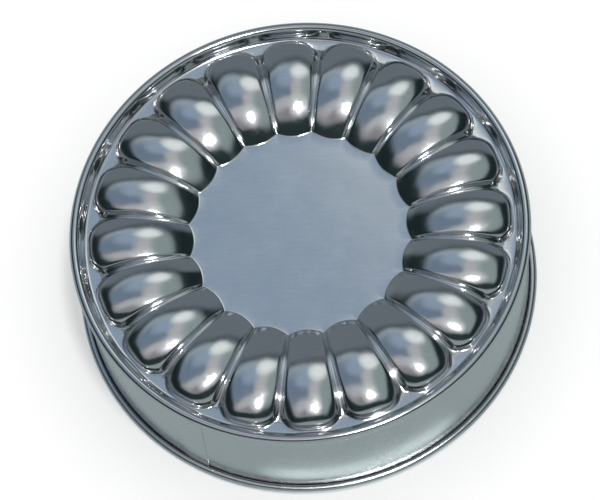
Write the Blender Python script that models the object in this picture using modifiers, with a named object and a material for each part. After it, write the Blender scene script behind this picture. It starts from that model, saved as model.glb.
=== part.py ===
"""Round cookie mould, standing on its open side: one sheet pressed up into a ring of deep rounded lobes
around a flat centre, its edge rolled over the top of a standing skirt and a core wire. The skirt's foot
is rolled round a second wire, and the mould is hollow and open underneath.

Row frame: metres, +Z up, origin on the surface that the mould stands on, on the mould's axis.
A lobe lies on +X.
"""

import math

import bmesh
import bpy

# Overall sizes
RIM_RADIUS = 0.1100  # outermost reach of the rolled rim
RIM_TOP = 0.0630  # top of the rolled rim above the standing surface
PLATE_SHEET = 0.0005  # sheet thickness of the pressed plate
SKIRT_SHEET = 0.0005  # sheet thickness of the skirt
SEAT_GAP = 0.0003  # clearance between pieces that touch

# Rolled rim and the short wall that carries it
RIM_ROLL_RADIUS = 0.0024  # outside radius of the rolled rim's section
RIM_ROLL_END = math.radians(-105.0)  # where the roll closes on the skirt, past the underside
RIM_WALL_SLOPE = math.radians(75.0)  # the short wall between land and roll, from level
LAND_DEPTH = 0.0065  # top of the rolled rim down to the flat land
LAND_FILLET = 0.0012  # corner between the land and that wall

# Ring of lobes
LOBES = 20
LOBE_RISE = 0.0094  # flat land up to a lobe's crest
VALLEY_RISE = 0.0044  # flat land up to the highest point of the valley between two lobes
PEAK_SHARE = 0.60  # where the crest is highest, as a share of the way between its feet
VALLEY_PEAK_SHARE = 0.58  # the same for the valley, which begins to fall sooner
CENTRE_RADIUS = 0.0508  # flat centre, at the middle of a lobe's inner foot
CENTRE_CUSP = 0.0027  # how much further the flat centre reaches between two lobes
LOBE_END_FLAT = 0.0015  # flat land left outside a lobe's outer foot, on its middle line
LOBE_END_ROUND = 0.0082  # how far that foot would draw back at the valleys
VALLEY_END_FLAT = 0.0065  # flat land left outside the valleys' outer ends
INNER_CUSP_POWER = 2.0  # how late the flat centre's cusps start, seen across a lobe
OUTER_ROUND_POWER = 3.4  # the same for the outer foot, which is squarer
INNER_FULLNESS = 2.3  # exponent of the lobe's long curve on the side of the flat centre
CREST_END_POWER = 1.6  # exponent of the crest's outer end: how soon it begins to fall
CREST_END_FALL = 0.33  # and how blunt it is: below one half it drops to its foot as a steep wall
VALLEY_END_POWER = 2.3  # the same two for the valley between two lobes, which runs out gently
VALLEY_END_FALL = 1.45
CROWN_DROP = 0.45  # how far the round crown would fall at the valley, as a share of crest over valley
SIDE_START = 0.82  # where the crown turns into the lobe's steep side, as a share of the half width
SIDE_END = 0.985  # and where that side has run out into the valley's floor

# Skirt and base bead
SKIRT_FLARE = 0.0017  # how much wider the skirt is at its foot than at its top
BASE_ROLL_RADIUS = 0.00205  # outside radius of the base bead's section
BASE_ROLL_STEP = math.radians(36.0)  # turn of one flat of the bead, with a flat one underneath
BASE_ROLL_END = math.radians(128.0)  # where that roll closes on the skirt, past the top

# Core wires
RIM_WIRE_RADIUS = 0.0011
BASE_WIRE_RADIUS = 0.0011

# The skirt's side seam: one end of the strip laps over the other
SEAM_FACET = 53  # the skirt's flat that carries the lap, counted from +X
SEAM_WIDTH = 0.0076
SEAM_BITE = 0.0002  # how deep the lap is set into the skirt, so that the two join

# Steps of the turned and pressed shapes
STEPS_ACROSS_LOBE = 8  # twice the folds of half a lobe
INNER_STEPS = 4
OUTER_STEPS = 4
RIM_ROLL_STEPS = 8
BASE_ROLL_STEPS = 8
RIM_STEPS = LOBES * STEPS_ACROSS_LOBE // 2  # the rim and the skirt need half of the lobes' steps
WIRE_SIDES = 6
CREASE_ANGLE = math.radians(30.0)  # edges that bend more than this stay crisp

QUARTER = math.pi / 2
SECTOR = 2 * math.pi / LOBES
FACET = 2 * math.pi / RIM_STEPS

# Places worked out from the sizes
# The pressed lobe is folded at these shares of its half width: on its middle line, twice on the crown,
# at the foot of its steep side and along the valley
FOLDS = (0.0, SIDE_START / 2, SIDE_START, (SIDE_START + 3 * SIDE_END) / 4, 1.0)
LOBE_STATIONS = INNER_STEPS + OUTER_STEPS
RIM_ROLL_CENTRE = (RIM_RADIUS - RIM_ROLL_RADIUS, RIM_TOP - RIM_ROLL_RADIUS)
LAND_HEIGHT = RIM_TOP - LAND_DEPTH
ROLL_START = QUARTER + RIM_WALL_SLOPE
WALL_TOP = (
    RIM_ROLL_CENTRE[0] + RIM_ROLL_RADIUS * math.cos(ROLL_START),
    RIM_ROLL_CENTRE[1] + RIM_ROLL_RADIUS * math.sin(ROLL_START),
)
FILLET_TOP = LAND_HEIGHT + LAND_FILLET * (1 - math.cos(RIM_WALL_SLOPE))
WALL_FOOT = WALL_TOP[0] - (WALL_TOP[1] - FILLET_TOP) / math.tan(RIM_WALL_SLOPE)
LAND_RADIUS = WALL_FOOT - LAND_FILLET * math.sin(RIM_WALL_SLOPE)
LOBE_END_RADIUS = LAND_RADIUS - LOBE_END_FLAT
LOBE_LENGTH = LOBE_END_RADIUS - CENTRE_RADIUS
VALLEY_END_RADIUS = LAND_RADIUS - VALLEY_END_FLAT
# The roll is turned in flats, whose inner side lies this far from the roll's centre
ROLL_FLAT = (ROLL_START - RIM_ROLL_END) / RIM_ROLL_STEPS
ROLL_INSIDE = RIM_ROLL_RADIUS * math.cos(ROLL_FLAT / 2) - PLATE_SHEET
# The skirt stands just outside the roll's inner side, so the roll traps its top edge
SKIRT_TOP = (RIM_ROLL_CENTRE[0] - ROLL_INSIDE + SEAT_GAP, RIM_ROLL_CENTRE[1])
# The bead's lowest flat lies on the standing surface
BASE_ROLL_CENTRE = (
    SKIRT_TOP[0] + SKIRT_FLARE + BASE_ROLL_RADIUS,
    BASE_ROLL_RADIUS * math.cos(BASE_ROLL_STEP / 2),
)
RIM_WIRE_CENTRE = (SKIRT_TOP[0] + SKIRT_SHEET + SEAT_GAP + RIM_WIRE_RADIUS, RIM_ROLL_CENTRE[1])


def clear_scene():
    for obj in list(bpy.data.objects):
        bpy.data.objects.remove(obj)


def new_collection(name):
    collection = bpy.data.collections.new(name)
    bpy.context.scene.collection.children.link(collection)
    return collection


def metal(name, colour, roughness):
    material = bpy.data.materials.new(name)
    material.use_nodes = True
    shader = material.node_tree.nodes["Principled BSDF"]
    shader.inputs["Base Color"].default_value = (*colour, 1.0)
    shader.inputs["Metallic"].default_value = 1.0
    shader.inputs["Roughness"].default_value = roughness
    return material


def arc(centre, radius, start, end, steps):
    """Points of an arc in the profile plane, as (distance from the axis, height)."""
    angles = [start + (end - start) * i / steps for i in range(steps + 1)]
    return [(centre[0] + radius * math.cos(a), centre[1] + radius * math.sin(a)) for a in angles]


def turned(name, profile, steps):
    """The profile's points turned round the Z axis by a Screw modifier, applied to a plain mesh object."""
    mesh = bpy.data.meshes.new(name + "_profile")
    edges = [(i, i + 1) for i in range(len(profile) - 1)]
    mesh.from_pydata([(r, 0.0, z) for r, z in profile], edges, [])
    guide = bpy.data.objects.new(name + "_guide", mesh)
    bpy.context.scene.collection.objects.link(guide)
    screw = guide.modifiers.new("turn", "SCREW")
    screw.steps = steps
    screw.render_steps = steps
    screw.use_merge_vertices = True
    screw.merge_threshold = 0.00001
    graph = bpy.context.evaluated_depsgraph_get()
    made = bpy.data.objects.new(name, bpy.data.meshes.new_from_object(guide.evaluated_get(graph)))
    bpy.data.objects.remove(guide)
    return made


def add_sheet(obj, thickness, towards):
    """Gives a turned surface its sheet thickness, on one side of the surface that was drawn."""
    solidify = obj.modifiers.new("sheet", "SOLIDIFY")
    solidify.thickness = thickness
    solidify.offset = towards
    solidify.use_even_offset = True


def finish(obj, collection, material):
    """Puts the piece in its collection, shades it and gives it its material."""
    for other in list(obj.users_collection):
        other.objects.unlink(obj)
    collection.objects.link(obj)
    obj.data.materials.clear()
    obj.data.materials.append(material)
    obj.data.shade_smooth()
    obj.data.set_sharp_from_angle(angle=CREASE_ANGLE)


def crown(side):
    """Share of the height from valley to crest: a round crown, then a steep side down to the valley's floor."""
    fallen = min(max((side - SIDE_START) / (SIDE_END - SIDE_START), 0.0), 1.0)
    return (1 - CROWN_DROP * side**2) * (1 - fallen**2 * (3 - 2 * fallen))


def long_curve(share, peak, end_power, end_fall):
    """A crest's or valley's curve from foot to foot, of height 1 at its peak."""
    if share < peak:
        return 1 - (1 - share / peak) ** INNER_FULLNESS
    beyond = min((share - peak) / (1 - peak), 1.0)
    return (1 - beyond**end_power) ** end_fall


def lobe_height(radius, side):
    """Height of the pressed lobes above the land, at a radius and a share of the half width."""
    inner = CENTRE_RADIUS + CENTRE_CUSP * side**INNER_CUSP_POWER
    outer = LOBE_END_RADIUS - LOBE_END_ROUND * side**OUTER_ROUND_POWER
    share = (radius - inner) / (outer - inner)
    crest = LOBE_RISE * long_curve(share, PEAK_SHARE, CREST_END_POWER, CREST_END_FALL)
    in_valley = (radius - inner) / (VALLEY_END_RADIUS - inner)
    valley = long_curve(in_valley, VALLEY_PEAK_SHARE, VALLEY_END_POWER, VALLEY_END_FALL) * VALLEY_RISE
    return valley + (crest - valley) * crown(side)


def press_point(place, step):
    """Where a point of the blank ends up in the pressed lobe, as (radius, angle in the sector, height)."""
    side = FOLDS[abs(step)]
    inner = CENTRE_RADIUS + CENTRE_CUSP * side**INNER_CUSP_POWER
    outer = LOBE_END_RADIUS - LOBE_END_ROUND * side**OUTER_ROUND_POWER
    outer = max(outer, VALLEY_END_RADIUS)
    if place <= INNER_STEPS:
        share = PEAK_SHARE * place / INNER_STEPS
    else:
        turn = QUARTER * (place - INNER_STEPS) / OUTER_STEPS
        share = PEAK_SHARE + (1 - PEAK_SHARE) * math.sin(turn)
    radius = inner + share * (outer - inner)
    on_a_foot = place in (0, LOBE_STATIONS)
    rise = 0.0 if on_a_foot else lobe_height(radius, side)
    return radius, math.copysign(side, step) * SECTOR / 2, LAND_HEIGHT + rise


def press_lobes(mesh):
    """Moves the rings of the turned blank that lie in the lobes' band into the lobes' shape."""
    for vertex in mesh.vertices:
        radius = vertex.co.xy.length
        if radius > LOBE_END_RADIUS + SEAT_GAP:
            continue
        place = round((radius - CENTRE_RADIUS) / LOBE_LENGTH * LOBE_STATIONS)
        sectors = math.atan2(vertex.co.y, vertex.co.x) / SECTOR
        lobe = math.floor(sectors + 0.5)
        step = round((sectors - lobe) * STEPS_ACROSS_LOBE)
        radius, angle, height = press_point(place, step)
        angle += lobe * SECTOR
        vertex.co = (radius * math.cos(angle), radius * math.sin(angle), height)


def thin_out_rim(mesh):
    """Halves the steps of the rings beyond the lobes, which need fewer, and closes the flat centre."""
    work = bmesh.new()
    work.from_mesh(mesh)
    step = SECTOR / STEPS_ACROSS_LOBE

    def between_facets(vertex):
        beyond_lobes = vertex.co.xy.length > LAND_RADIUS - SEAT_GAP
        return beyond_lobes and round(math.atan2(vertex.co.y, vertex.co.x) / step) % 2 == 1

    doomed = [edge for edge in work.edges if all(between_facets(v) for v in edge.verts)]
    bmesh.ops.dissolve_edges(work, edges=doomed, use_verts=True)
    inner_foot = [
        edge
        for edge in work.edges
        if edge.is_boundary and edge.verts[0].co.xy.length < CENTRE_RADIUS + LOBE_LENGTH / 2
    ]
    bmesh.ops.contextual_create(work, geom=inner_foot)
    bmesh.ops.recalc_face_normals(work, faces=work.faces)
    work.to_mesh(mesh)
    work.free()


def lobed_plate():
    """The pressed sheet: flat centre, lobes, land, short wall and the rolled rim, drawn on its top side."""
    band = [
        (CENTRE_RADIUS + LOBE_LENGTH * i / LOBE_STATIONS, LAND_HEIGHT)
        for i in range(LOBE_STATIONS + 1)
    ]
    fillet_centre = (LAND_RADIUS, LAND_HEIGHT + LAND_FILLET)
    fillet = arc(fillet_centre, LAND_FILLET, -QUARTER, RIM_WALL_SLOPE - QUARTER, 1)
    roll = arc(RIM_ROLL_CENTRE, RIM_ROLL_RADIUS, ROLL_START, RIM_ROLL_END, RIM_ROLL_STEPS)
    plate = turned("lobed_plate", band + fillet + roll, LOBES * STEPS_ACROSS_LOBE)
    press_lobes(plate.data)
    thin_out_rim(plate.data)
    add_sheet(plate, PLATE_SHEET, -1)
    return plate


def side_seam():
    """The end of the skirt's strip that laps over its other end, between the rolled rim and the base bead."""
    low = BASE_ROLL_CENTRE[1] + BASE_ROLL_RADIUS + SEAT_GAP
    high = RIM_TOP - 2 * RIM_ROLL_RADIUS - SEAT_GAP
    fall = SKIRT_TOP[1] - BASE_ROLL_CENTRE[1]
    lean = math.atan(SKIRT_FLARE / fall)
    middle = (low + high) / 2
    skirt_inside = SKIRT_TOP[0] + SKIRT_FLARE * (SKIRT_TOP[1] - middle) / fall
    out = skirt_inside * math.cos(FACET / 2) + SKIRT_SHEET + (SKIRT_SHEET - SEAM_BITE) / 2
    around = (SEAM_FACET + 0.5) * FACET
    bpy.ops.mesh.primitive_cube_add(size=1.0)
    seam = bpy.context.object
    seam.name = "side_seam"
    seam.scale = (SKIRT_SHEET + SEAM_BITE, SEAM_WIDTH, high - low)
    seam.rotation_euler = (0.0, -lean, around)
    seam.location = (out * math.cos(around), out * math.sin(around), middle)
    return seam


def skirt(helpers):
    """The standing strip: its top edge sits in the rolled rim, and its foot is rolled outward round a wire."""
    last_flat = math.pi + BASE_ROLL_STEPS * BASE_ROLL_STEP
    base_roll = arc(BASE_ROLL_CENTRE, BASE_ROLL_RADIUS, math.pi, last_flat, BASE_ROLL_STEPS)
    base_roll += arc(BASE_ROLL_CENTRE, BASE_ROLL_RADIUS, last_flat, BASE_ROLL_END, 1)[1:]
    strip = turned("skirt", [SKIRT_TOP] + base_roll, RIM_STEPS)
    add_sheet(strip, SKIRT_SHEET, 1)
    seam = side_seam()
    for other in list(seam.users_collection):
        other.objects.unlink(seam)
    helpers.objects.link(seam)
    seam.hide_render = True
    seam.display_type = "WIRE"
    join = strip.modifiers.new("side_seam", "BOOLEAN")
    join.operation = "UNION"
    join.object = seam
    return strip


def core_wire(name, centre, radius):
    """A ring of round wire inside a rolled edge."""
    bpy.ops.mesh.primitive_torus_add(
        major_radius=centre[0],
        minor_radius=radius,
        major_segments=RIM_STEPS,
        minor_segments=WIRE_SIDES,
        location=(0.0, 0.0, centre[1]),
    )
    wire = bpy.context.object
    wire.name = name
    return wire


def main():
    clear_scene()
    parts = new_collection("cookie_mould")
    helpers = new_collection("cutters_and_guides")
    bright_tin = metal("bright_tin", (0.74, 0.76, 0.78), 0.12)
    plain_wire = metal("plain_wire", (0.50, 0.50, 0.51), 0.35)
    finish(lobed_plate(), parts, bright_tin)
    finish(skirt(helpers), parts, bright_tin)
    finish(core_wire("rim_wire", RIM_WIRE_CENTRE, RIM_WIRE_RADIUS), parts, plain_wire)
    finish(core_wire("base_wire", BASE_ROLL_CENTRE, BASE_WIRE_RADIUS), parts, plain_wire)


main()
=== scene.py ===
"""The cookie mould, dressed in tin plate.

It has four pieces: the smooth pressed plate with its rolled rim, the lapped skirt with its wired
foot, and the two core wires. All lengths are in metres and all turns in radians. Z is up, the
mould stands on Z = 0 and a lobe lies on +X.
"""

import math

import bmesh
import bpy
import numpy as np
from mathutils import Matrix, Vector


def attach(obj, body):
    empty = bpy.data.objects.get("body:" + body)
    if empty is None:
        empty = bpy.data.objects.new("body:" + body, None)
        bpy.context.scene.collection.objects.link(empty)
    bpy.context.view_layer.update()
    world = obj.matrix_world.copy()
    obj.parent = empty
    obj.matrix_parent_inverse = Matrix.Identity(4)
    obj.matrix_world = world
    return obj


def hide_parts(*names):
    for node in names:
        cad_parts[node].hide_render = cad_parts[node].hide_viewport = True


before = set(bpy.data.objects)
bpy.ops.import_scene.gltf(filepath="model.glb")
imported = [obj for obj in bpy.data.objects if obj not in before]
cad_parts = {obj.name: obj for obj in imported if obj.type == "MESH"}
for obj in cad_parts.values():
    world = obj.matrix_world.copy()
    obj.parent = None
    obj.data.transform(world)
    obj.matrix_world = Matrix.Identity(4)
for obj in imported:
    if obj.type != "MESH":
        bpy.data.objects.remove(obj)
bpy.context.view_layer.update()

# Sizes shared with the solids
RIM_RADIUS = 0.1100
RIM_TOP = 0.0630
SHEET = 0.0005
RIM_ROLL_RADIUS = 0.0024
RIM_WALL_SLOPE = math.radians(75.0)
LAND_DEPTH = 0.0065
LAND_FILLET = 0.0012
LOBES = 20
LOBE_RISE = 0.0094
VALLEY_RISE = 0.0044
PEAK_SHARE = 0.60
VALLEY_PEAK_SHARE = 0.58
CENTRE_RADIUS = 0.0508
CENTRE_CUSP = 0.0027
LOBE_END_FLAT = 0.0015
LOBE_END_ROUND = 0.0082
OUTER_ROUND_POWER = 3.4
VALLEY_END_FLAT = 0.0065
INNER_FULLNESS = 2.3
CREST_END_POWER = 1.6
CREST_END_FALL = 0.33
VALLEY_END_POWER = 2.3
VALLEY_END_FALL = 1.45
CROWN_DROP = 0.45
SIDE_START = 0.82
SIDE_END = 0.985
SKIRT_TOP_RADIUS = 0.1061
SKIRT_FLARE = 0.0017
BASE_ROLL_RADIUS = 0.00205
WIRE_RADIUS = 0.0011
RIM_WIRE_RING_RADIUS = 0.1080
SEAM_ANGLE = math.radians(240.75)

# Sizes of the smooth surface alone. The lap's run and rise are angles behind the seam.
INNER_FOOT_FILLET = 0.0012
INNER_FOOT_REACH = 1.6
OUTER_FOOT_FILLET = 0.0010
LAST_HEIGHT = 1.1 * OUTER_FOOT_FILLET
LEAST_KNEE = 0.00005
LEAST_LAND = 0.0002
SOFT_LAND_FILLET = 0.0025
LAP_HEIGHT = 0.00045
LAP_RUN = 0.16
LAP_RISE = 0.09
LAP_TOP_SHARE = 0.08
SHARP_EDGE = math.radians(50.0)

# How finely the surface is drawn
CENTRE_RINGS = (0.25, 0.5, 0.75, 0.9)
CROWN_STEPS = 9
SIDE_STEPS = 12
FOOT_STEPS = 5
INNER_STEPS = 16
OUTER_STEPS = 24
HALVINGS = 30
LAND_BEND_STEPS = 8
RIM_ROLL_STEPS = 26
SKIRT_COLUMNS = 480
SEAM_COLUMNS = (-0.0012, -0.0004, 0.0004, 0.0012)
SKIRT_STEPS = 14
BASE_ROLL_STEPS = 30
WIRE_COLUMNS = 240
WIRE_SIDES = 20

# Sizes that follow
QUARTER = math.pi / 2
ROUND = 2 * math.pi
SECTOR = ROUND / LOBES
LAND_HEIGHT = RIM_TOP - LAND_DEPTH
ROLL_CENTRE = (RIM_RADIUS - RIM_ROLL_RADIUS, RIM_TOP - RIM_ROLL_RADIUS)
ROLL_START = QUARTER + RIM_WALL_SLOPE
ROLL_END = math.radians(-108.0)
BASE_CENTRE = (SKIRT_TOP_RADIUS + SKIRT_FLARE + BASE_ROLL_RADIUS, BASE_ROLL_RADIUS)
BASE_ROLL_END = math.radians(128.0)
WALL_TOP = (
    ROLL_CENTRE[0] + RIM_ROLL_RADIUS * math.cos(ROLL_START),
    ROLL_CENTRE[1] + RIM_ROLL_RADIUS * math.sin(ROLL_START),
)
FILLET_TOP = LAND_HEIGHT + LAND_FILLET * (1 - math.cos(RIM_WALL_SLOPE))
WALL_FOOT = WALL_TOP[0] - (WALL_TOP[1] - FILLET_TOP) / math.tan(RIM_WALL_SLOPE)
LAND_RADIUS = WALL_FOOT - LAND_FILLET * math.sin(RIM_WALL_SLOPE)
BEND_RADIUS = LAND_RADIUS - (SOFT_LAND_FILLET - LAND_FILLET) * math.tan(RIM_WALL_SLOPE / 2)
LOBE_END_RADIUS = LAND_RADIUS - LOBE_END_FLAT
VALLEY_END_RADIUS = LAND_RADIUS - VALLEY_END_FLAT


# Geometry helpers


def mesh_object(name, points, faces, material):
    """A smooth-shaded mesh object of its own."""
    mesh = bpy.data.meshes.new(name)
    mesh.from_pydata([tuple(p) for p in points], [], faces)
    mesh.update()
    mesh.shade_smooth()
    mesh.materials.append(material)
    obj = bpy.data.objects.new(name, mesh)
    bpy.context.scene.collection.objects.link(obj)
    return obj


def round_axis(angle, radius, height):
    """The point at an angle round the mould's axis, a radius from it and a height."""
    return (radius * math.cos(angle), radius * math.sin(angle), height)


def ring_faces(rows, columns):
    """Quads between neighbouring closed rings, whose points follow one another row by row."""
    faces = []
    for row in range(rows - 1):
        low = row * columns
        high = low + columns
        for c in range(columns):
            d = (c + 1) % columns
            faces.append((low + c, low + d, high + d, high + c))
    return faces


def turned_over(faces):
    return [tuple(reversed(face)) for face in faces]


def arc(centre, radius, start, end, steps):
    angles = np.linspace(start, end, steps + 1)
    return [(centre[0] + radius * math.cos(a), centre[1] + radius * math.sin(a)) for a in angles]


def corner(start, knee, end, steps):
    """A rounded corner between two points, tangent to the lines that meet at the knee."""
    made = []
    for i in range(steps + 1):
        t = i / steps
        shares = ((1 - t) ** 2, 2 * t * (1 - t), t**2)
        made.append(
            tuple(shares[0] * start[k] + shares[1] * knee[k] + shares[2] * end[k] for k in (0, 1))
        )
    return made


def smooth_step(x):
    """A smooth rise from 0 to 1 while x goes from 0 to 1, and level beyond."""
    x = min(max(x, 0.0), 1.0)
    return x * x * (3 - 2 * x)


def thicken(obj):
    """Gives the drawn side its sheet thickness, behind it, and applies it."""
    solid = obj.modifiers.new("sheet", "SOLIDIFY")
    solid.thickness = SHEET
    solid.offset = -1
    solid.use_even_offset = False
    graph = bpy.context.evaluated_depsgraph_get()
    mesh = bpy.data.meshes.new_from_object(obj.evaluated_get(graph))
    obj.modifiers.clear()
    obj.data = mesh
    mesh.shade_smooth()
    mesh.set_sharp_from_angle(angle=SHARP_EDGE)


# The pressed plate


def lobe_columns():
    """The plate's columns round the axis, as (angle, share of the way from crest to valley)."""
    sides = [SIDE_START * i / CROWN_STEPS for i in range(CROWN_STEPS + 1)]
    sides += [SIDE_START + (1 - SIDE_START) * i / SIDE_STEPS for i in range(1, SIDE_STEPS + 1)]
    columns = []
    for lobe in range(LOBES):
        columns += [(lobe * SECTOR - side * SECTOR / 2, side) for side in reversed(sides[1:-1])]
        columns += [(lobe * SECTOR + side * SECTOR / 2, side) for side in sides]
    return columns


def crown(side):
    """Share of the height from valley to crest: a round crown, then a steep side to the valley."""
    fallen = smooth_step((side - SIDE_START) / (SIDE_END - SIDE_START))
    return (1 - CROWN_DROP * side**2) * (1 - fallen)


def long_curve(share, peak, end_power, end_fall):
    """A crest's or valley's curve from foot to foot, of height 1 at its peak."""
    if share < peak:
        return 1 - (1 - share / peak) ** INNER_FULLNESS
    beyond = min((share - peak) / (1 - peak), 1.0)
    return (1 - beyond**end_power) ** end_fall


def inner_foot(side):
    """The radius where a lobe rises from the flat centre."""
    return CENTRE_RADIUS + CENTRE_CUSP * side**2


def outer_foot(side):
    """The radius where a lobe comes down to the land."""
    return LOBE_END_RADIUS - LOBE_END_ROUND * side**OUTER_ROUND_POWER


def lobe_height(radius, side):
    """Height of the pressed lobes above the land."""
    run = radius - inner_foot(side)
    on_crest = run / (outer_foot(side) - inner_foot(side))
    in_valley = run / (VALLEY_END_RADIUS - inner_foot(side))
    crest = LOBE_RISE * long_curve(on_crest, PEAK_SHARE, CREST_END_POWER, CREST_END_FALL)
    valley = VALLEY_RISE * long_curve(
        in_valley, VALLEY_PEAK_SHARE, VALLEY_END_POWER, VALLEY_END_FALL
    )
    return valley + (crest - valley) * crown(side)


def plate_profile(side):
    """The top of one column of the plate, as (radius, height) from the centre to the roll."""
    foot = inner_foot(side)
    end = max(outer_foot(side), VALLEY_END_RADIUS)
    peak = foot + PEAK_SHARE * (end - foot)

    # Out of the flat centre and up to the crest
    points = [(foot * k, 0.0) for k in CENTRE_RINGS]
    lean = math.atan(lobe_height(peak, side) * INNER_FULLNESS / (peak - foot))
    reach = INNER_FOOT_FILLET * math.tan(lean / 2) * INNER_FOOT_REACH
    leave = foot + reach * math.cos(lean)
    points += corner(
        (foot - reach, 0.0), (foot, 0.0), (leave, lobe_height(leave, side)), FOOT_STEPS
    )
    for i in range(1, INNER_STEPS + 1):
        radius = leave + (peak - leave) * i / INNER_STEPS
        points.append((radius, lobe_height(radius, side)))

    # Down the outer end, in steps that grow finer, to where the fillet on the land takes over
    low, high = 0.0, QUARTER
    for _ in range(HALVINGS):
        turn = (low + high) / 2
        if lobe_height(peak + (end - peak) * math.sin(turn), side) > LAST_HEIGHT:
            low = turn
        else:
            high = turn
    for i in range(1, OUTER_STEPS + 1):
        radius = peak + (end - peak) * math.sin(low * i / OUTER_STEPS)
        points.append((radius, lobe_height(radius, side)))
    knee = (max(end, points[-1][0] + LEAST_KNEE), 0.0)
    land_start = (min(end + OUTER_FOOT_FILLET, BEND_RADIUS - LEAST_LAND), 0.0)
    points += corner(points[-1], knee, land_start, FOOT_STEPS)[1:]
    points = [(radius, height + LAND_HEIGHT) for radius, height in points]

    # The land, the short wall and the rolled rim
    points.append(((points[-1][0] + BEND_RADIUS) / 2, LAND_HEIGHT))
    bend_centre = (BEND_RADIUS, LAND_HEIGHT + SOFT_LAND_FILLET)
    bend_end = RIM_WALL_SLOPE - QUARTER
    points += arc(bend_centre, SOFT_LAND_FILLET, -QUARTER, bend_end, LAND_BEND_STEPS)
    points += arc(ROLL_CENTRE, RIM_ROLL_RADIUS, ROLL_START, ROLL_END, RIM_ROLL_STEPS)
    return points


def lobed_plate(material):
    columns = lobe_columns()
    profiles = [plate_profile(side) for _, side in columns]
    points = []
    for row in zip(*profiles):
        points += [
            round_axis(angle, radius, height) for (angle, _), (radius, height) in zip(columns, row)
        ]
    count = len(columns)
    faces = ring_faces(len(profiles[0]), count)
    middle = len(points)
    points.append((0.0, 0.0, LAND_HEIGHT))
    faces += [(c, middle, (c + 1) % count) for c in range(count)]
    obj = mesh_object("pressed_plate", points, turned_over(faces), material)
    thicken(obj)
    return obj


# The skirt


def lap_offset(angle):
    """How far the skirt's lapped end stands out: one crisp edge, and a slow run to the round."""
    behind = (angle - SEAM_ANGLE + math.pi) % ROUND - math.pi
    if behind > 0 or behind < -LAP_RUN:
        return 0.0
    return LAP_HEIGHT * smooth_step((behind + LAP_RUN) / LAP_RISE)


def skirt_point(row, lap):
    """The outer side of the skirt, as (radius, height), from its top to the base roll's end."""
    top = ROLL_CENTRE[1]
    if row < SKIRT_STEPS:
        drop = row / SKIRT_STEPS
        radius = SKIRT_TOP_RADIUS + SKIRT_FLARE * drop
        height = top + (BASE_CENTRE[1] - top) * drop
        return radius + lap * smooth_step(drop / LAP_TOP_SHARE), height
    turn = math.pi + (math.pi + BASE_ROLL_END) * (row - SKIRT_STEPS) / BASE_ROLL_STEPS
    radius = BASE_CENTRE[0] + BASE_ROLL_RADIUS * math.cos(turn)
    height = max(BASE_CENTRE[1] + BASE_ROLL_RADIUS * math.sin(turn), 0.0)
    left = max(3 * QUARTER - turn, 0.0) / QUARTER
    return radius + lap * left, height


def skirt(material):
    around = list(np.linspace(0, ROUND, SKIRT_COLUMNS + 1)[:-1])
    around = sorted(around + [SEAM_ANGLE + beside for beside in SEAM_COLUMNS])
    rows = SKIRT_STEPS + BASE_ROLL_STEPS + 1
    points = []
    for row in range(rows):
        points += [round_axis(angle, *skirt_point(row, lap_offset(angle))) for angle in around]
    obj = mesh_object("standing_skirt", points, ring_faces(rows, len(around)), material)
    thicken(obj)
    return obj


def wire_ring(name, centre, material):
    """A ring of round wire."""
    points = []
    for s in range(WIRE_SIDES):
        turn = ROUND * s / WIRE_SIDES
        radius = centre[0] + WIRE_RADIUS * math.cos(turn)
        height = centre[1] + WIRE_RADIUS * math.sin(turn)
        for c in range(WIRE_COLUMNS):
            points.append(round_axis(ROUND * c / WIRE_COLUMNS, radius, height))
    faces = ring_faces(WIRE_SIDES, WIRE_COLUMNS)
    last = (WIRE_SIDES - 1) * WIRE_COLUMNS
    for c in range(WIRE_COLUMNS):
        d = (c + 1) % WIRE_COLUMNS
        faces.append((last + c, last + d, d, c))
    return mesh_object(name, points, turned_over(faces), material)


# Nodes


def feed(tree, socket, value):
    """Links an input to another node's output, or sets it to a plain value."""
    if isinstance(value, bpy.types.NodeSocket):
        tree.links.new(value, socket)
    else:
        socket.default_value = value


def node(tree, kind, **inputs):
    """A node with its inputs fed by name, where an underscore stands for a space."""
    made = tree.nodes.new(kind)
    for name, value in inputs.items():
        feed(tree, made.inputs[name.replace("_", " ")], value)
    return made


def maths(tree, operation, *values):
    made = tree.nodes.new("ShaderNodeMath")
    made.operation = operation
    for socket, value in zip(made.inputs, values):
        feed(tree, socket, value)
    return made.outputs["Value"]


def vector_maths(tree, operation, *values):
    made = tree.nodes.new("ShaderNodeVectorMath")
    made.operation = operation
    for socket, value in zip(made.inputs, values):
        feed(tree, socket, value)
    return made


def object_place(tree):
    return tree.nodes.new("ShaderNodeTexCoord").outputs["Object"]


def noise(tree, place, scale, detail, roughness):
    made = node(
        tree, "ShaderNodeTexNoise", Vector=place, Scale=scale, Detail=detail, Roughness=roughness
    )
    return made.outputs["Fac"]


# Materials

# Noises, as (scale, detail, roughness)
CLOUDS = (55.0, 4.0, 0.6)
GRAIN = (1200.0, 2.0, 0.5)
RUBBING = (420.0, 3.0, 0.65)
WAVES = (38.0, 1.5, 0.45)

GRAIN_STRETCH = (0.10, 1.0, 1.0)
GRAIN_SHARE = 0.6
TINT_RANGE = (0.36, 0.64)
TINT_LEVELS = (0.925, 0.975)
GLOSS_RANGE = (0.12, 0.42)
RUB_HEIGHT = 0.0000015


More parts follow.
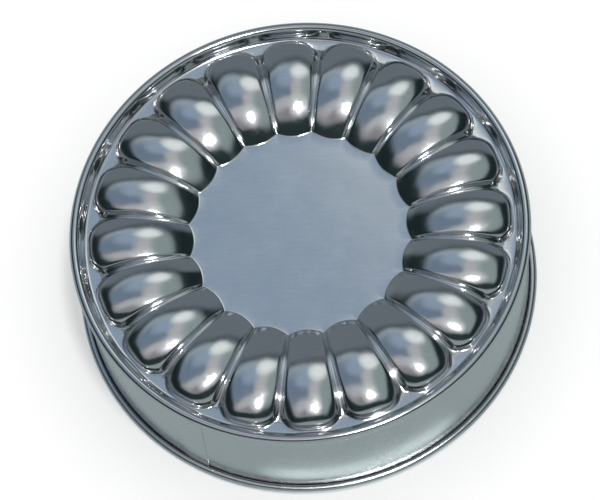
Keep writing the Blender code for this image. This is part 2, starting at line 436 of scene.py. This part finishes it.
def tin(name, colour, rough_low, rough_high, wave_height):
    """Tin plate: faint clouds and rolled grain in its colour, uneven gloss, and a wavy surface."""
    material = bpy.data.materials.new(name)
    material.use_nodes = True
    tree = material.node_tree
    place = object_place(tree)
    clouds = noise(tree, place, *CLOUDS)
    rubbing = noise(tree, place, *RUBBING)

    along = node(tree, "ShaderNodeMapping", Vector=place, Scale=GRAIN_STRETCH)
    grain = noise(tree, along.outputs["Vector"], *GRAIN)
    streaked = node(tree, "ShaderNodeMix", Factor=GRAIN_SHARE, A=clouds, B=grain)
    tint = node(tree, "ShaderNodeValToRGB", Fac=streaked.outputs["Result"])
    for stop, position, level in zip(tint.color_ramp.elements, TINT_RANGE, TINT_LEVELS):
        stop.position = position
        stop.color = tuple(c * level for c in colour) + (1.0,)

    gloss = node(
        tree,
        "ShaderNodeMapRange",
        Value=maths(tree, "MULTIPLY", clouds, rubbing),
        From_Min=GLOSS_RANGE[0],
        From_Max=GLOSS_RANGE[1],
        To_Min=rough_low,
        To_Max=rough_high,
    )
    waves = noise(tree, place, *WAVES)
    uneven = node(tree, "ShaderNodeBump", Height=waves, Distance=wave_height, Strength=1.0)
    fine = node(
        tree,
        "ShaderNodeBump",
        Height=rubbing,
        Distance=RUB_HEIGHT,
        Strength=1.0,
        Normal=uneven.outputs["Normal"],
    )
    shader = tree.nodes["Principled BSDF"].inputs
    feed(tree, shader["Metallic"], 1.0)
    feed(tree, shader["Base Color"], tint.outputs["Color"])
    feed(tree, shader["Roughness"], gloss.outputs["Result"])
    feed(tree, shader["Normal"], fine.outputs["Normal"])
    return material


# Build

plate_tin = tin("pressed_tin", (0.76, 0.775, 0.79), 0.07, 0.16, 0.00010)
skirt_tin = tin("skirt_tin", (0.74, 0.755, 0.77), 0.16, 0.30, 0.00010)
wire_steel = tin("wire_steel", (0.50, 0.50, 0.51), 0.28, 0.42, 0.00003)

plate = lobed_plate(plate_tin)
strip = skirt(skirt_tin)
rim_wire = wire_ring("rim_core_wire", (RIM_WIRE_RING_RADIUS, ROLL_CENTRE[1]), wire_steel)
base_wire = wire_ring("base_core_wire", BASE_CENTRE, wire_steel)
for piece, replaced, slot in (
    (plate, "lobed_plate", "pressed_tin"),
    (strip, "skirt", "skirt_tin"),
    (rim_wire, "rim_wire", "wire"),
    (base_wire, "base_wire", "wire"),
):
    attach(piece, "root")
    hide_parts(replaced)


# Camera

# The camera was fitted in a frame turned by this about the mould's axis, in this unit of length
PICTURE_TURN = math.radians(5.935)
UNIT = 0.10643
LOOK_AT = Vector((-0.01387 * UNIT, -0.11420 * UNIT, RIM_TOP))
CAMERA_DISTANCE = 16.0 * UNIT
ELEVATION = math.radians(65.5077)
ROLL = math.radians(-9.91189)
FOCAL_PIXELS = 3599.42
IMAGE_WIDTH = 600
SENSOR_WIDTH = 36.0
NEAREST = 0.05
FARTHEST = 50.0


def set_camera():
    turn = Matrix.Rotation(PICTURE_TURN, 3, "Z")
    back = Vector((0.0, -math.cos(ELEVATION), math.sin(ELEVATION)))
    right = Vector((1.0, 0.0, 0.0))
    up = right.cross(-back)
    rolled_right = right * math.cos(ROLL) + up * math.sin(ROLL)
    rolled_up = up * math.cos(ROLL) - right * math.sin(ROLL)
    place = turn @ (LOOK_AT + back * CAMERA_DISTANCE)
    axes = Matrix((turn @ rolled_right, turn @ rolled_up, turn @ back)).transposed()
    data = bpy.data.cameras.new("camera")
    data.sensor_width = SENSOR_WIDTH
    data.sensor_fit = "HORIZONTAL"
    data.lens = FOCAL_PIXELS * data.sensor_width / IMAGE_WIDTH
    data.clip_start = NEAREST
    data.clip_end = FARTHEST
    camera = bpy.data.objects.new("camera", data)
    camera.matrix_world = Matrix.Translation(place) @ axes.to_4x4()
    bpy.context.scene.collection.objects.link(camera)
    bpy.context.scene.camera = camera


# Stage and light

# The share of the light that bright tin sends back, which the cards' colours make up for
TIN_SHINE = 0.75
WHITE = (1.0, 1.0, 1.0, 1.0)
WORLD_LEVEL = 0.80
FLOOR_COLOUR = (0.96, 0.96, 0.96, 1.0)
FLOOR_ROUGHNESS = 0.9
FLOOR_LIFT = 0.10
FLOOR_HALF = 6.0

LAMP_LEVEL = 0.25
LAMP_SIZE = 0.38
LAMP_DISTANCE = 3.0
LAMP_TOWARD = (0.105, -0.190, 0.975)

# A card's outline
ELLIPSE = 1
NEARLY_SQUARE = 2

# The tent's cards, each laid over the ones before it: outline, middle, half sizes, softness and
# the colour it shows in bright tin. Places are on the sky map, where the point overhead is 0, 0
# and those 60 degrees from it are at a distance of 1.
TENT_RADIUS = 5.0
TENT_SEGMENTS = 64
TENT_RINGS = 32
TENT_COLOUR = (105, 113, 118)
TENT_CARDS = (
    (NEARLY_SQUARE, (0.00, -1.34), (1.30, 0.52), 0.12, (134, 141, 142)),
    (NEARLY_SQUARE, (0.00, 0.07), (1.12, 0.83), 0.12, (26, 36, 38)),
    (NEARLY_SQUARE, (0.20, 1.02), (0.88, 0.36), 0.22, (97, 105, 111)),
    (NEARLY_SQUARE, (0.00, 0.08), (0.68, 0.62), 0.26, (46, 56, 59)),
    (NEARLY_SQUARE, (-0.04, -0.55), (0.56, 0.18), 0.45, (34, 46, 46)),
    (NEARLY_SQUARE, (0.01, 0.13), (0.59, 0.49), 0.26, (132, 140, 144)),
    (ELLIPSE, (-0.36, -0.10), (0.28, 0.22), 0.50, (143, 143, 146)),
    (ELLIPSE, (-0.16, 0.54), (0.30, 0.14), 0.50, (142, 154, 162)),
    (ELLIPSE, (-0.32, 0.25), (0.34, 0.28), 0.40, (103, 117, 133)),
    (ELLIPSE, (0.21, 0.22), (0.20, 0.36), 0.50, (166, 166, 169)),
    (ELLIPSE, (0.48, 0.05), (0.20, 0.40), 0.50, (128, 141, 140)),
    (ELLIPSE, (-0.22, -0.09), (0.26, 0.13), 0.60, (166, 166, 169)),
    (ELLIPSE, (-0.06, -0.30), (0.30, 0.12), 0.70, (126, 122, 124)),
    (ELLIPSE, (0.09, -0.16), (0.21, 0.20), 0.60, (180, 182, 182)),
    (ELLIPSE, (-0.11, 0.42), (0.18, 0.13), 0.70, (132, 148, 165)),
    (ELLIPSE, (0.26, 0.50), (0.18, 0.11), 0.65, (214, 220, 218)),
)
# It keeps the sky map's division clear of zero straight down
JUST_OVER_ONE = 1.001

# The low card round the foot glows gray, a painted reflection on the skirt, and the pale patch on
# it is a painted glint that makes the bright streak low on the skirt.
# The patch's place is the angle round the mould's axis and the distance from it.
LOW_CARD_RADII = (0.1125, 1.5)
LOW_CARD_HEIGHT = 0.0002
LOW_CARD_COLUMNS = 96
LOW_CARD_COLOUR = (138, 149, 150)
LOW_CARD_GLINT = (
    NEARLY_SQUARE,
    (math.radians(-78.0), 0.1153),
    (math.radians(17.0), 0.0018),
    0.8,
    (206, 219, 218),
)


def emission_material(name):
    material = bpy.data.materials.new(name)
    material.use_nodes = True
    tree = material.node_tree
    tree.nodes.remove(tree.nodes["Principled BSDF"])
    glow = tree.nodes.new("ShaderNodeEmission")
    tree.links.new(glow.outputs["Emission"], tree.nodes["Material Output"].inputs["Surface"])
    return material, tree, glow


def linear(value):
    """The linear light of a screen value of 0 to 255."""
    value /= 255
    return value / 12.92 if value < 0.04045 else ((value + 0.055) / 1.055) ** 2.4


def shown(*colour):
    """The light that bright tin shows as this colour on the screen."""
    return (*(linear(value) / TIN_SHINE for value in colour), 1.0)


def plain_light(tree, colour):
    made = tree.nodes.new("ShaderNodeRGB").outputs["Color"]
    made.default_value = shown(*colour)
    return made


def only_in_reflections(obj):
    obj.visible_camera = False
    obj.visible_diffuse = False
    obj.visible_shadow = False


def lay_card(tree, place, under, outline, middle, half, soft, colour):
    """Lays a soft-edged card over the light that is there already, and returns the new light."""
    local = node(
        tree, "ShaderNodeMapping", Vector=place, Location=(*middle, 0.0), Scale=(*half, 1.0)
    )
    local.vector_type = "TEXTURE"
    power = local.outputs["Vector"]
    for _ in range(outline):
        power = vector_maths(tree, "MULTIPLY", power, power).outputs["Vector"]
    reach = vector_maths(tree, "DOT_PRODUCT", power, (1.0, 1.0, 0.0)).outputs["Value"]
    edge = node(
        tree,
        "ShaderNodeMapRange",
        Value=reach,
        From_Min=(1 + soft) ** (2 * outline),
        From_Max=(1 - soft) ** (2 * outline),
    )
    edge.interpolation_type = "SMOOTHSTEP"
    laid = tree.nodes.new("ShaderNodeMix")
    laid.data_type = "RGBA"
    feed(tree, laid.inputs["Factor"], edge.outputs["Result"])
    feed(tree, laid.inputs["A"], under)
    feed(tree, laid.inputs["B"], shown(*colour))
    return laid.outputs["Result"]


def sky_map(tree):
    """Where a point of the tent lies on a flat map of the sky that keeps areas true."""
    direction = vector_maths(tree, "NORMALIZE", object_place(tree)).outputs["Vector"]
    height = node(tree, "ShaderNodeSeparateXYZ", Vector=direction).outputs["Z"]
    raised = maths(tree, "ADD", height, JUST_OVER_ONE)
    factor = maths(tree, "SQRT", maths(tree, "DIVIDE", 2.0, raised))
    spread = vector_maths(tree, "SCALE", direction)
    feed(tree, spread.inputs["Scale"], factor)
    return spread.outputs["Vector"]


def polar_place(tree):
    """The angle round the mould's axis and the distance from it, in place of X and Y."""
    place = object_place(tree)
    parts = node(tree, "ShaderNodeSeparateXYZ", Vector=place).outputs
    angle = maths(tree, "ARCTAN2", parts["Y"], parts["X"])
    distance = vector_maths(tree, "LENGTH", place).outputs["Value"]
    return node(tree, "ShaderNodeCombineXYZ", X=angle, Y=distance).outputs["Vector"]


def set_floor():
    """A white floor, lifted a little for the camera alone, which keeps the mould's shadow."""
    material = bpy.data.materials.new("floor_white")
    material.use_nodes = True
    tree = material.node_tree
    rays = tree.nodes.new("ShaderNodeLightPath")
    shader = tree.nodes["Principled BSDF"].inputs
    feed(tree, shader["Base Color"], FLOOR_COLOUR)
    feed(tree, shader["Roughness"], FLOOR_ROUGHNESS)
    feed(tree, shader["Specular IOR Level"], 0.0)
    feed(tree, shader["Emission Color"], WHITE)
    lift = maths(tree, "MULTIPLY", rays.outputs["Is Camera Ray"], FLOOR_LIFT)
    feed(tree, shader["Emission Strength"], lift)
    corners = [
        (x * FLOOR_HALF, y * FLOOR_HALF, 0.0) for x, y in ((-1, -1), (1, -1), (1, 1), (-1, 1))
    ]
    floor = mesh_object("floor", corners, [(0, 1, 2, 3)], material)


def set_low_card():
    """A low card round the foot, which only reflections show. Its glow paints the skirt's gray
    reflection and the glint low on it.
    """
    material, tree, glow = emission_material("low_card_painted_reflection")
    # Painted reflection: a gray glow with a pale patch that paints a glint on the skirt
    gray = plain_light(tree, LOW_CARD_COLOUR)
    feed(tree, glow.inputs["Color"], lay_card(tree, polar_place(tree), gray, *LOW_CARD_GLINT))
    points = []
    for radius in LOW_CARD_RADII:
        for c in range(LOW_CARD_COLUMNS):
            points.append(round_axis(ROUND * c / LOW_CARD_COLUMNS, radius, LOW_CARD_HEIGHT))
    card = mesh_object("low_card", points, ring_faces(2, LOW_CARD_COLUMNS), material)
    only_in_reflections(card)


def set_tent():
    """A wide tent round the mould, which only reflections show, with its cards."""
    mesh = bpy.data.meshes.new("tent")
    work = bmesh.new()
    bmesh.ops.create_uvsphere(
        work, u_segments=TENT_SEGMENTS, v_segments=TENT_RINGS, radius=TENT_RADIUS
    )
    work.to_mesh(mesh)
    work.free()
    material, tree, glow = emission_material("tent_light")
    mesh.materials.append(material)
    place = sky_map(tree)
    light = plain_light(tree, TENT_COLOUR)
    for card in TENT_CARDS:
        light = lay_card(tree, place, light, *card)
    feed(tree, glow.inputs["Color"], light)
    tent = bpy.data.objects.new("tent", mesh)
    tent.rotation_euler = (0.0, 0.0, PICTURE_TURN)
    bpy.context.scene.collection.objects.link(tent)
    only_in_reflections(tent)


def set_world():
    """White for the camera, for reflections and through glass, and a plain level as a light."""
    world = bpy.data.worlds.new("studio")
    world.use_nodes = True
    tree = world.node_tree
    rays = tree.nodes.new("ShaderNodeLightPath").outputs
    seen = maths(tree, "MAXIMUM", rays["Is Camera Ray"], rays["Is Glossy Ray"])
    either = maths(tree, "MAXIMUM", seen, rays["Is Transmission Ray"])
    level = node(tree, "ShaderNodeMapRange", Value=either, To_Min=WORLD_LEVEL, To_Max=1.0)
    background = tree.nodes["Background"].inputs
    feed(tree, background["Color"], WHITE)
    feed(tree, background["Strength"], level.outputs["Result"])
    bpy.context.scene.world = world


def set_lamp():
    """One round lamp high on the camera's side, whose image is the bright spot on every lobe."""
    data = bpy.data.lights.new("lamp", "AREA")
    data.shape = "DISK"
    data.size = LAMP_SIZE
    data.energy = LAMP_LEVEL * (math.pi * LAMP_DISTANCE) ** 2
    lamp = bpy.data.objects.new("lamp", data)
    toward = Matrix.Rotation(PICTURE_TURN, 3, "Z") @ Vector(LAMP_TOWARD).normalized()
    lamp.location = toward * LAMP_DISTANCE
    lamp.rotation_euler = toward.to_track_quat("Z", "Y").to_euler()
    bpy.context.scene.collection.objects.link(lamp)


set_camera()
set_floor()
set_low_card()
set_tent()
set_world()
set_lamp()
bpy.context.scene.view_settings.view_transform = "Standard"
